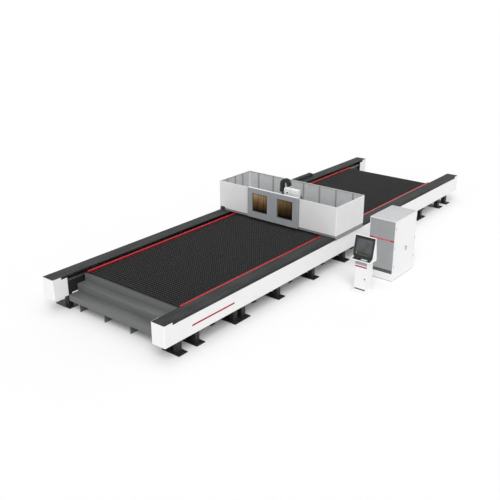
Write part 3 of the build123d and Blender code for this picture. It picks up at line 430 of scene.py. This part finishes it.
def make_gantry_details():
    """Lining sheets that paint shade on the enclosure's inner walls, rib covers in a darker grey for the seams over the
    same painted shade, rim of the enclosure, door lips, window gaskets and motor fins.
    """
    # Grey lining sheets over the white walls' inner faces: painted shade of the enclosure's inside.
    lining = [block("lining", (8984.4, -2304, LINING_FOOT), (8986.9, 2304, LINING_TOP), 0.5, 1)]
    # Rib covers darker still: the dark seams, partly painted shade.
    covers = []
    for i in range(-3, 4):
        covers.append(block("cover", (8960.6, i * 640 - RIB_HALF, LINING_FOOT),
                            (8986, i * 640 + RIB_HALF, LINING_TOP), 1.2, 1))
    for side in (-1, 1):
        low, high = sorted((side * 2334.4, side * 2336.9))
        lining.append(block("lining", (7386, low, LINING_FOOT), (8954, high, LINING_TOP), 0.5, 1))
        for share in (0.25, 0.5, 0.75):
            x = 7350 + 1640 * share
            low, high = sorted((side * 2310.6, side * 2336))
            covers.append(block("cover", (x - RIB_HALF, low, 1172), (x + RIB_HALF, high, LINING_TOP), 1.2, 1))
        low, high = (1110, 2304) if side > 0 else (-2304, -1010)
        lining.append(block("lining", (7353.1, low, LINING_FOOT), (7355.6, high, LINING_TOP), 0.5, 1))
    settle(join("enclosure_shade_lining", lining), "gantry", "lining_painted_shade")
    settle(join("enclosure_rib_covers", covers), "gantry", "rib_seam_and_shade")
    rim = [block("rim", (8958, -2334, RIM_FOOT), (8984, 2334, RIM_TOP), 1.6)]
    rim.append(block("rim", (7440, 2314, RIM_FOOT), (8984, 2336, RIM_TOP), 1.6))
    rim.append(block("rim", (7440, -2336, RIM_FOOT), (8984, -2314, RIM_TOP), 1.6))
    for low, high in ((-2334, -955), (1055, 2334)):
        rim.append(block("rim", (7352, low, RIM_FOOT), (7378, high, RIM_TOP), 1.6))
    settle(join("enclosure_rim", rim), "gantry", "white_paint")
    for body, low, high in (("far_door", 52, 1050), ("near_door", -950, 48)):
        lip = block(body + "_top_lip", (7268, low, 2063.5), (7347, high, 2067), 1.2)
        settle(lip, body, "white_paint")
    for body, centre in (("far_door", 551), ("near_door", -451)):
        low = (7266.5, centre - 300, 1280)
        gasket = frame_bar("gasket", low, (7270.4, centre + 300, 1900), 12, 0)
        settle(named_as(gasket, body + "_gasket"), body, "handle_black")
    fins = []
    for y in (-1850.7, 1850.7):
        for z in range(1200, 1420, 16):
            fins.append(block("fin", (8427, y - 53, z), (8533, y + 53, z + 5), 1.2, 1))
        fins.append(block("plug", (8424, y - 24, 1390), (8440, y + 24, 1436), 3))
    settle(join("x_motor_fins", fins), "gantry", "drive_black")
    fins = []
    for x in range(7535, 7670, 14):
        fins.append(block("fin", (x, -133, 1320), (x + 5, -47, 1407), 1.2, 1))
    settle(join("y_motor_fins", fins), "cross_carriage", "drive_black")


def make_head_details():
    """The cutting head with its turned cone and nozzle, and the housing's seams, port and boss."""
    x, y = 7654, -460
    body = block("body", (x - 50, y - 50, 1470), (x + 50, y + 50, 1600), 6, 3)
    focus = block("focus", (x - 62, y - 62, 1243), (7724, y + 62, 1470), 5, 3)
    drawer = block("drawer", (x - 68, y - 40, 1268), (x - 61, y + 40, 1300), 2)
    knob = turned("knob", (x - 62, y, 1400), [(17, 0), (17, 9), (14, 12)], 24, (0, -math.pi / 2, 0))
    cone = turned("cone", (x, y, 1128), [(12, 0), (17, 1), (17, 12), (22, 13), (30, 30), (44, 66), (46, 72),
                                          (46, 92), (43, 95), (43, 100), (46, 103), (46, 115)], 40)
    head = join("cutting_head_body", [body, focus, drawer, knob, cone])
    settle(head, "head", "head_alu", ["cutting_head"])
    tip = turned("nozzle_tip", (x, y, 1110), [(4, 0), (5.5, 1), (11, 12), (14, 14), (14, 19)], 32)
    settle(tip, "head", "brass")
    seam = block("seam", (7572.6, -470, 1612), (7574.4, -466, 2178), 0.4)
    trims = [seam, block("seam", (7572.6, -724, 1900), (7574.4, -208, 1904), 0.4)]
    port = turned("port", (7574.4, -330, 2060), [(26, -1), (26, 4), (22, 6)], 28, (0, -math.pi / 2, 0))
    settle(join("housing_trim", trims + [port]), "head", "handle_black")
    eye = turned("housing_boss", (7574.4, -560, 2060), [(24, -1), (24, 7), (17, 10)], 28, (0, -math.pi / 2, 0))
    settle(eye, "head", "white_paint")


def chain_link(name, length, width, height):
    """One link of a cable chain at the origin, long in X and wide in Y: plates with windows, crossed by bars."""
    only(None)
    bpy.ops.mesh.primitive_cube_add(size=1, scale=(length / 1000, width / 1000, height / 1000))
    link = named(name)
    pick(link, lambda edge: abs(edge.verts[0].co.y - edge.verts[1].co.y) > width / 2000, "EDGE")
    bpy.ops.mesh.bevel(offset=height / 7000, segments=2, affect="EDGES")
    pick(link, lambda face: abs(face.normal.y) > 0.9)
    bpy.ops.mesh.inset(thickness=height / 6000, depth=-0.004, use_individual=True)
    pick(link, lambda face: abs(face.normal.z) > 0.9)
    bpy.ops.mesh.inset(thickness=length / 5000, depth=-0.005, use_individual=True)
    return done(link)


def make_chains():
    """The cable chains: links laid along the arch over the carriage and along the far rail."""
    crown_y, crown_z, middle = -114.5, 2264.5, 129.0
    left, right = 254.5, 59.5
    whole = left + math.pi * middle + right
    count = 16
    link = chain_link("link", whole / count - 2.5, 166, 93)
    halves = {"z_chain_left": [], "z_chain_right": []}
    for i in range(count):
        along = (i + 0.5) * whole / count
        if along < left:
            y, z, lean = crown_y + middle, 2010 + along, 0
        elif along < left + math.pi * middle:
            lean = (along - left) / middle
            y, z = crown_y + middle * math.cos(lean), crown_z + middle * math.sin(lean)
        else:
            y, z, lean = crown_y - middle, crown_z - (along - left - math.pi * middle), math.pi
        first = copy_to(link, (0, 0, 0), (0, 0, math.pi / 2))
        half = "z_chain_left" if along < left + math.pi * middle / 2 else "z_chain_right"
        halves[half].append(copy_to(first, row(7785, y, z), (math.pi / 2 + lean, 0, 0)))
        bpy.data.objects.remove(first)
    for name, links in halves.items():
        settle(join(name, links), None, "chain_black",
               ["z_chain_fixed_half" if name == "z_chain_left" else "z_chain_moving_half"])
    x, y = 7.785 + ROW_X, crown_y / 1000 + ROW_Y
    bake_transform(bpy.data.objects["z_chain_left"])
    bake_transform(bpy.data.objects["z_chain_right"])
    bpy.data.objects.remove(link)
    flat = chain_link("flat_link", 86, 181, 55)
    y, low, high, end = 2207.5, 1053.8, 1111.2, 12650
    lower = copy_to(flat, row(8245, y, low))
    lower = repeat(lower, 49, (X_CHAIN_PITCH, 0, 0))
    upper = copy_to(flat, row(8825, y, high))
    upper = repeat(upper, 43, (X_CHAIN_PITCH, 0, 0))
    bends = [copy_to(flat, row(end + 22, y, (low + high) / 2 - 24), (0, -0.9, 0)),
             copy_to(flat, row(end + 22, y, (low + high) / 2 + 24), (0, 0.9, 0))]
    settle(join("x_chain_lower", [lower, bends[0]]), None, "chain_black", ["x_chain_lower_run"])
    settle(join("x_chain_upper", [upper, bends[1]]), None, "chain_black", ["x_chain_upper_run"])
    y, z = y / 1000 + ROW_Y, 1.08
    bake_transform(bpy.data.objects["x_chain_lower"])
    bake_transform(bpy.data.objects["x_chain_upper"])
    bpy.data.objects.remove(flat)


# Console and cabinet

def make_console_details():
    """Band, stripe, vent blades, desk mat, keys, mouse, display and its surround."""
    front, near, far = 6460, -3975, -3565
    band = block("console_band", (front - 1, near + 12, 830), (front + 0.4, far - 12, 930), 0.4, 1)
    settle(band, "bed_and_rails", "door_grey")
    stripe = block("console_stripe", (front - 1.2, near + 12, 762), (front + 0.4, far - 12, 803), 0.4, 1)
    settle(stripe, "bed_and_rails", "guard_red")
    blade = block("blade", (front + 1, near + 32, 57), (front + 11, far - 32, 61), 1, 1)
    settle(named_as(repeat(blade, 4, (0, 0, 10)), "console_vent_blades"), "bed_and_rails", "handle_black")
    mat = block("desk_mat", (6402, -4060, 993.6), (6538, -3480, 996), 0.8)
    settle(mat, "bed_and_rails", "handle_black")
    key = block("key", (6423, -3957, 1011.6), (6437, -3943, 1016), 1.5)
    key = repeat(repeat(key, 4, (20, 0, 0)), 10, (0, 19.5, 0))
    settle(named_as(key, "console_keys"), "bed_and_rails", "white_paint")
    mouse = block("console_mouse", (6425, -3700, 995.6), (6500, -3655, 1022), 12, 4)
    settle(mouse, "bed_and_rails", "handle_black")
    slope = math.atan2(6667 - 6547, 1636 - 994)
    where = row(6547, -3770, 994) + Vector((-0.0295, 0, 0))
    for name, low, high, look in (("console_display", (-7, -262, 205), (0, 262, 590), "display_glass"),
                                  ("display_foot", (-6, -262, 50), (0, 262, 196), "display_dark"),
                                  ("display_lamp", (-8, 205, 150), (-5.5, 235, 178), "display_yellow"),
                                  ("display_bar", (-8, -150, 108), (-5.5, 130, 128), "display_green")):
        shape = move(block(name, low, high, 0.8, 1), -row(0, 0, 0))
        settle(move(shape, where, (0, slope, 0)), "bed_and_rails", look)
    surround = move(frame_bar("screen_surround", (-10, -319, 60), (-3.6, 319, 664), 54, 0), -row(0, 0, 0))
    settle(move(surround, where, (0, slope, 0)), "bed_and_rails", "screen")


def make_cabinet_details():
    """Red band, black plinth strips that paint the shade under the cabinet, louvres, lid, side strip and hinges of the
    source cabinet.
    """
    front = 7643
    band = block("cabinet_band", (front - 1.4, -4035, 1257), (front + 0.4, -3465, 1302), 0.5, 1)
    settle(band, "bed_and_rails", "pale_red")
    ends = [block("end", (front - 1.4, low, 1257), (front + 0.4, low + 122, 1302), 0.5, 1)
            for low in (-4157, -3465)]
    settle(join("cabinet_band_ends", ends), "bed_and_rails", "guard_red")
    # Black strips round the inset plinth: painted shade in the gap under the cabinet.
    plinth = [block("plinth", (7670.5, -4153.5, 0.6), (8963.5, -4151, 19.4), 0.5, 1),
              block("plinth", (7670.5, -3349, 0.6), (8963.5, -3346.5, 19.4), 0.5, 1),
              block("plinth", (7670.5, -4153.5, 0.6), (7673, -3346.5, 19.4), 0.5, 1),
              block("plinth", (8961, -4153.5, 0.6), (8963.5, -3346.5, 19.4), 0.5, 1)]
    settle(join("cabinet_plinth_painted_shade", plinth), "bed_and_rails", "handle_black")
    blade = block("blade", (front - 2, -4140, 248), (front + 10, -3360, 254), 1.5, 1)
    settle(named_as(repeat(blade, 10, (0, 0, 10.6)), "cabinet_louvres"), "bed_and_rails", "handle_black")
    lid = block("cabinet_lid", (7655, -4169, 1898.5), (8979, -3331, 1902.5), 1.5)
    settle(lid, "bed_and_rails", "shell_grey")
    strip = block("cabinet_side_strip", (7645.5, -4177.6, 244), (7676, -4175, 1880), 0.8, 1)
    settle(strip, "bed_and_rails", "white_paint")
    hinge = turned("hinge", (7682, -4181, 420), [(6, 0), (7, 1), (7, 79), (6, 80)], 16)
    hinges = [hinge] + [copy_to(hinge, (0, 0, z)) for z in (0.6, 1.2)]
    hinges += [copy_to(hinge, (1.270, 0, z)) for z in (0, 0.6, 1.2)]
    settle(join("cabinet_hinges", hinges), "bed_and_rails", "steel_bright")


def dress_frame(frame):
    """Every CAD node's finish."""
    wear = {
        "white_paint": ["near_side_cladding", "far_side_cladding", "front_rail_caps", "rear_rail_caps",
                        "console_pedestal", "console_hood", "console_door", "cabinet_carcass", "cabinet_front_door", "cabinet_rear_door",
                        "head_housing"],
        "enclosure_white": ["near_enclosure_panel", "far_enclosure_panel", "back_enclosure_panel"],
        "cover_dark": ["near_rail_cover", "far_rail_cover"],
        "frame_dark": ["near_rail_beam", "far_rail_beam", "near_legs", "far_legs", "bed_frame", "scrap_trays",
                       "rear_end_plate"],
        "steel_bright": ["linear_guides", "gear_racks", "guide_blocks", "near_x_pinion", "far_x_pinion",
                         "cross_guides_and_rack", "cross_guide_blocks", "y_pinion"],
        "steel_dark": ["slats", "slat_bars"],
        "guard_red": ["bed_guards"],
        "step_grey": ["entry_steps"],
        "skirt_grey": ["skirt"],
        "door_grey": ["far_door_leaf", "near_door_leaf", "door_frame"],
        "amber_glass": ["far_door_window", "near_door_window"],
        "machined": ["near_end_carriage", "far_end_carriage", "cross_beam", "cross_carriage_plate", "z_slide"],
        "drive_black": ["x_drives", "y_drive"],
        "chain_black": ["z_chain_fixed_half", "z_chain_moving_half", "x_chain_lower_run", "x_chain_upper_run"],
        "head_alu": ["cutting_head"],
        "screen": ["console_screen"],
        "keypad": ["console_keypad"],
        "cabinet_front": ["cabinet_front_panel"],
        "handle_black": ["console_door_knob"],
        "handle_grey": ["cabinet_handle"],
    }
    for finish_name, nodes in wear.items():
        for node in nodes:
            mesh = frame["nodes"][node].data
            mesh.materials.clear()
            mesh.materials.append(FINISHES[finish_name])


def make_studio():
    """Pale floor, even sky light and one soft sun."""
    scene = bpy.context.scene
    scene.view_settings.view_transform = "Standard"
    only(None)
    bpy.ops.mesh.primitive_plane_add(size=160, location=(0, 0, -0.0005))
    floor = bpy.context.object
    floor.name = "floor"
    paper = bpy.data.materials.new("white studio paper")
    paper.use_nodes = True
    tree = paper.node_tree
    tree.nodes.clear()
    ray = add(tree, "ShaderNodeLightPath")
    matt = add(tree, "ShaderNodeBsdfDiffuse", {"Color": linear("#fdfdfd")})
    glow = add(tree, "ShaderNodeEmission", {"Color": (1, 1, 1, 1), "Strength": 0.05})
    seen = add(tree, "ShaderNodeAddShader", links={0: (matt, "BSDF"), 1: (glow, "Emission")})
    lit = add(tree, "ShaderNodeBsdfDiffuse", {"Color": linear("#f0f0f0")})
    mix = add(tree, "ShaderNodeMixShader",
              links={0: (ray, "Is Camera Ray"), 1: (lit, "BSDF"), 2: (seen, "Shader")})
    add(tree, "ShaderNodeOutputMaterial", links={"Surface": (mix, "Shader")})
    floor.data.materials.append(paper)
    world = bpy.data.worlds.new("studio")
    world.use_nodes = True
    tree = world.node_tree
    tree.nodes.clear()
    ray = add(tree, "ShaderNodeLightPath")
    sky = add(tree, "ShaderNodeBackground", {"Color": (1, 1, 1, 1), "Strength": SKY})
    white = add(tree, "ShaderNodeBackground", {"Color": (1, 1, 1, 1), "Strength": 1.0})
    gloss = add(tree, "ShaderNodeMixShader", links={0: (ray, "Is Glossy Ray"), 1: (sky, "Background"),
                                                    2: (white, "Background")})
    through = add(tree, "ShaderNodeMixShader", links={0: (ray, "Is Transmission Ray"), 1: (gloss, "Shader"),
                                                      2: (white, "Background")})
    camera = add(tree, "ShaderNodeMixShader", links={0: (ray, "Is Camera Ray"), 1: (through, "Shader"),
                                                     2: (white, "Background")})
    add(tree, "ShaderNodeOutputWorld", links={"Surface": (camera, "Shader")})
    scene.world = world
    data = bpy.data.lights.new("soft_sun", "SUN")
    data.energy = SUN
    data.angle = math.radians(40)
    sun = bpy.data.objects.new("soft_sun", data)
    scene.collection.objects.link(sun)
    sun.rotation_mode = "QUATERNION"
    sun.rotation_quaternion = Vector((0.62, 0.50, -0.9)).to_track_quat("-Z", "Y")


def make_finishes():
    """Every finish of the machine."""
    made = FINISHES
    # Powder-coated sheet steel: near white, satin, with the faint orange peel of the coating.
    made["white_paint"] = finish("white powder coat", "#fafafa", 0.42, vary=0.01, grain_mm=350, bump=0.05, bump_mm=3)
    # The same coat in a greyer white on the enclosure's walls.
    made["enclosure_white"] = finish("grey-white powder coat", "#eeeeef", 0.42, vary=0.012, grain_mm=350, bump=0.05,
                                     bump_mm=3)
    # Inner lining and rib covers of the enclosure: matt greys darker than the walls' white, painted shade of the
    # enclosure's inside; the rib covers darker still for the seams.
    made["lining_painted_shade"] = finish("lining grey with painted shade", "#d6d7d8", 0.65, vary=0.03, grain_mm=240, bump=0.08, bump_mm=3)
    made["rib_seam_and_shade"] = finish("rib grey with painted shade", "#a3a5a7", 0.65, vary=0.03, grain_mm=240, bump=0.08, bump_mm=3)
    # Textured black-grey coat on the rail covers: matt, with a coarse grain and a slightly dusty middle.
    made["cover_dark"] = finish("textured graphite coat", "#2f3130", 0.7, vary=0.16, grain_mm=260, bump=0.25,
                                bump_mm=4, second="#383a39", stretch=(0.25, 1, 1), shine=0.25)
    # Welded frame in satin black paint over mill steel.
    made["frame_dark"] = finish("satin black frame paint", "#222223", 0.55, vary=0.2, grain_mm=120, bump=0.1, bump_mm=4)
    # Ground and hardened steel: bright, with a fine even grind too small to show as lines.
    made["steel_bright"] = finish("ground steel", "#b9bbbd", 0.34, metal=1, vary=0.03, grain_mm=60, bump=0.01,
                                  bump_mm=2)
    # Hot-rolled slat steel: near-black scale, scorched by the beam, with the teeth's tips going to a lighter grey
    # towards their top.
    made["steel_dark"] = finish("scorched slat steel", "#343334", 0.6, vary=0.12, grain_mm=90, bump=0.2, bump_mm=3,
                                shine=0.3, tips=(0.905, 0.941, "#6c6b6b"))
    # Signal red powder coat on guards and stripes: satin, a deep even red with little mirroring.
    made["guard_red"] = finish("red powder coat", "#b01e2b", 0.45, vary=0.05, grain_mm=300, bump=0.05, bump_mm=3,
                               shine=0.3)
    # The paler red of the cabinet's band.
    made["pale_red"] = finish("pale red powder coat", "#cf5a62", 0.35, vary=0.04, grain_mm=300, bump=0.05, bump_mm=3,
                              coat=0.3)
    # Grey-painted step sheet, walked on: satin, scuffed along the treads.
    made["step_grey"] = finish("scuffed grey step paint", "#696a6a", 0.5, vary=0.08, grain_mm=420, bump=0.1, bump_mm=5,
                               stretch=(1, 0.2, 1))
    # Light grey powder coat of the cabinet's lid: satin and even.
    made["shell_grey"] = finish("light grey powder coat", "#c9cacb", 0.45, vary=0.02, grain_mm=300, bump=0.04, bump_mm=3)
    # Skirt under the enclosure, in a mid grey coat.
    made["skirt_grey"] = finish("mid grey skirt coat", "#8f8f90", 0.5, vary=0.03, grain_mm=240, bump=0.05, bump_mm=3)
    # Door leaves and their frame in a cooler grey coat.
    made["door_grey"] = finish("blue-grey door coat", "#a3a7aa", 0.42, vary=0.03, grain_mm=300, bump=0.04, bump_mm=3)
    # Laser-safety glass, amber above, with painted shade going to brown-black at its foot.
    made["amber_glass"] = amber_glass_painted_shade()
    # Machined and clear-coated aluminium and steel plates of the axes.
    made["machined"] = finish("machined plate", "#b4b6b8", 0.45, metal=1, vary=0.03, grain_mm=90, bump=0.01,
                              bump_mm=2)
    # Servo housings: black satin paint.
    made["drive_black"] = finish("black motor paint", "#1c1d1f", 0.4, vary=0.1, grain_mm=60, bump=0.06, bump_mm=2)
    # Glass-filled polyamide of the cable chains: matt black with a grey bloom.
    made["chain_black"] = finish("chain polyamide", "#242526", 0.55, ior=1.53, vary=0.15, grain_mm=50, bump=0.1,
                                 bump_mm=2)
    # Anodised aluminium of the cutting head.
    made["head_alu"] = finish("anodised head aluminium", "#aeb1b4", 0.35, metal=1, vary=0.05, grain_mm=40, bump=0.04,
                              bump_mm=1)
    # Turned brass of the nozzle, yellow and bright.
    made["brass"] = finish("turned nozzle brass", "#c9a35a", 0.25, metal=1, vary=0.05, grain_mm=8, bump=0.05, bump_mm=1)
    # Moulded black frame of the screen.
    made["screen"] = finish("moulded screen bezel", "#1a1b1d", 0.4, vary=0.08, grain_mm=60, bump=0.08, bump_mm=1)
    # Cover glass over the unlit display: glossy dark grey.
    made["display_glass"] = finish("display cover glass", "#505153", 0.15, ior=1.52, vary=0.2, grain_mm=260)
    # Lower field of the display: dimmer, with a green cast.
    made["display_dark"] = finish("display lower field", "#3b3f3b", 0.2, ior=1.52, vary=0.1, grain_mm=200)
    # Lit symbols of the display: plain fields of yellow and green.
    made["display_yellow"] = finish("display yellow", "#c9b23a", 0.4, vary=0.02)
    made["display_green"] = finish("display green", "#3f6f5c", 0.4, vary=0.02)
    # Light grey moulded ABS of the keypad.
    made["keypad"] = finish("moulded grey ABS", "#9a9b9c", 0.5, ior=1.53, vary=0.04, grain_mm=40, bump=0.08, bump_mm=1)
    # Mid grey coat on the cabinet's front.
    made["cabinet_front"] = finish("grey cabinet coat", "#a2a4a6", 0.45, vary=0.03, grain_mm=320, bump=0.05, bump_mm=3)
    # Die-cast zinc of the cabinet's handle under a mid grey coat: satin, a little darker than the doors.
    made["handle_grey"] = finish("grey coated zinc", "#6b6d6f", 0.45, vary=0.04, grain_mm=60, bump=0.05, bump_mm=1)
    # Black polyamide of the knob, gaskets and mats: matt; the same black on the cabinet's plinth strips is painted
    # shade.
    made["handle_black"] = finish("black handle polyamide", "#1b1b1c", 0.55, ior=1.53, vary=0.1, grain_mm=40, bump=0.1,
                                  bump_mm=1)


def amber_glass_painted_shade():
    """Amber safety glass with painted shade: darker towards its foot and in the near leaf, with soft upright streaks of
    painted light and shade.
    """
    material = bpy.data.materials.new("amber safety glass")
    material.use_nodes = True
    tree = material.node_tree
    tree.nodes.clear()
    place = add(tree, "ShaderNodeTexCoord")
    apart = add(tree, "ShaderNodeSeparateXYZ", links={0: (place, "Object")})
    # Painted shade: the glass goes darker towards its foot.
    height = add(tree, "ShaderNodeMapRange", {"From Min": 1.30, "From Max": 1.88}, {"Value": (apart, "Z")})
    ramp = add(tree, "ShaderNodeValToRGB", links={"Fac": (height, "Result")})
    ramp.color_ramp.elements[0].position = 0.05
    ramp.color_ramp.elements[0].color = linear("#0f0b08")
    ramp.color_ramp.elements[1].position = 1.0
    ramp.color_ramp.elements[1].color = linear("#b39466")
    middle = ramp.color_ramp.elements.new(0.5)
    middle.color = linear("#6b5236")
    mapping = add(tree, "ShaderNodeMapping", {"Scale": (1, 1, 0.12)}, {"Vector": (place, "Object")})
    # Painted light and shade in soft upright streaks.
    streaks = add(tree, "ShaderNodeTexNoise", {"Scale": 14.0, "Detail": 3.0}, {"Vector": (mapping, "Vector")})
    light = add(tree, "ShaderNodeMapRange", {"From Min": 0.35, "From Max": 0.7, "To Min": 0.65, "To Max": 1.35},
                {"Value": (streaks, "Fac")})
    # Painted shade: darker across the near leaf.
    across = add(tree, "ShaderNodeMapRange", {"From Min": 0.1, "From Max": 1.72, "To Min": 0.4, "To Max": 1.5},
                 {"Value": (apart, "Y")})
    glow = add(tree, "ShaderNodeMath", links={0: (light, "Result"), 1: (across, "Result")},
               attributes={"operation": "MULTIPLY"})
    tone = add(tree, "ShaderNodeVectorMath", links={0: (ramp, "Color"), 1: (glow, "Value")},
               attributes={"operation": "MULTIPLY"})
    shader = add(tree, "ShaderNodeBsdfPrincipled", {"Roughness": 0.12, "IOR": 1.52, "Transmission Weight": 0.15},
                 {"Base Color": (tone, "Vector")})
    add(tree, "ShaderNodeOutputMaterial", links={"Surface": (shader, "BSDF")})
    return material


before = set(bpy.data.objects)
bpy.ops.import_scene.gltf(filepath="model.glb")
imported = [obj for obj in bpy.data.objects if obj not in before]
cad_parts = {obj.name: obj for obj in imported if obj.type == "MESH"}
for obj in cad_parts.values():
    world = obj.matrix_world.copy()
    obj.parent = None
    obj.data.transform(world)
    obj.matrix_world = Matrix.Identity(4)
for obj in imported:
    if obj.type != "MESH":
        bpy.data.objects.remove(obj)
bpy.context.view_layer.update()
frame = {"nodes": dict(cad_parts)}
make_camera()
make_finishes()
make_studio()
dress_frame(frame)
make_rail_details()
make_toothed_slats()
make_bed_details()
make_gantry_details()
make_head_details()
make_chains()
make_console_details()
make_cabinet_details()
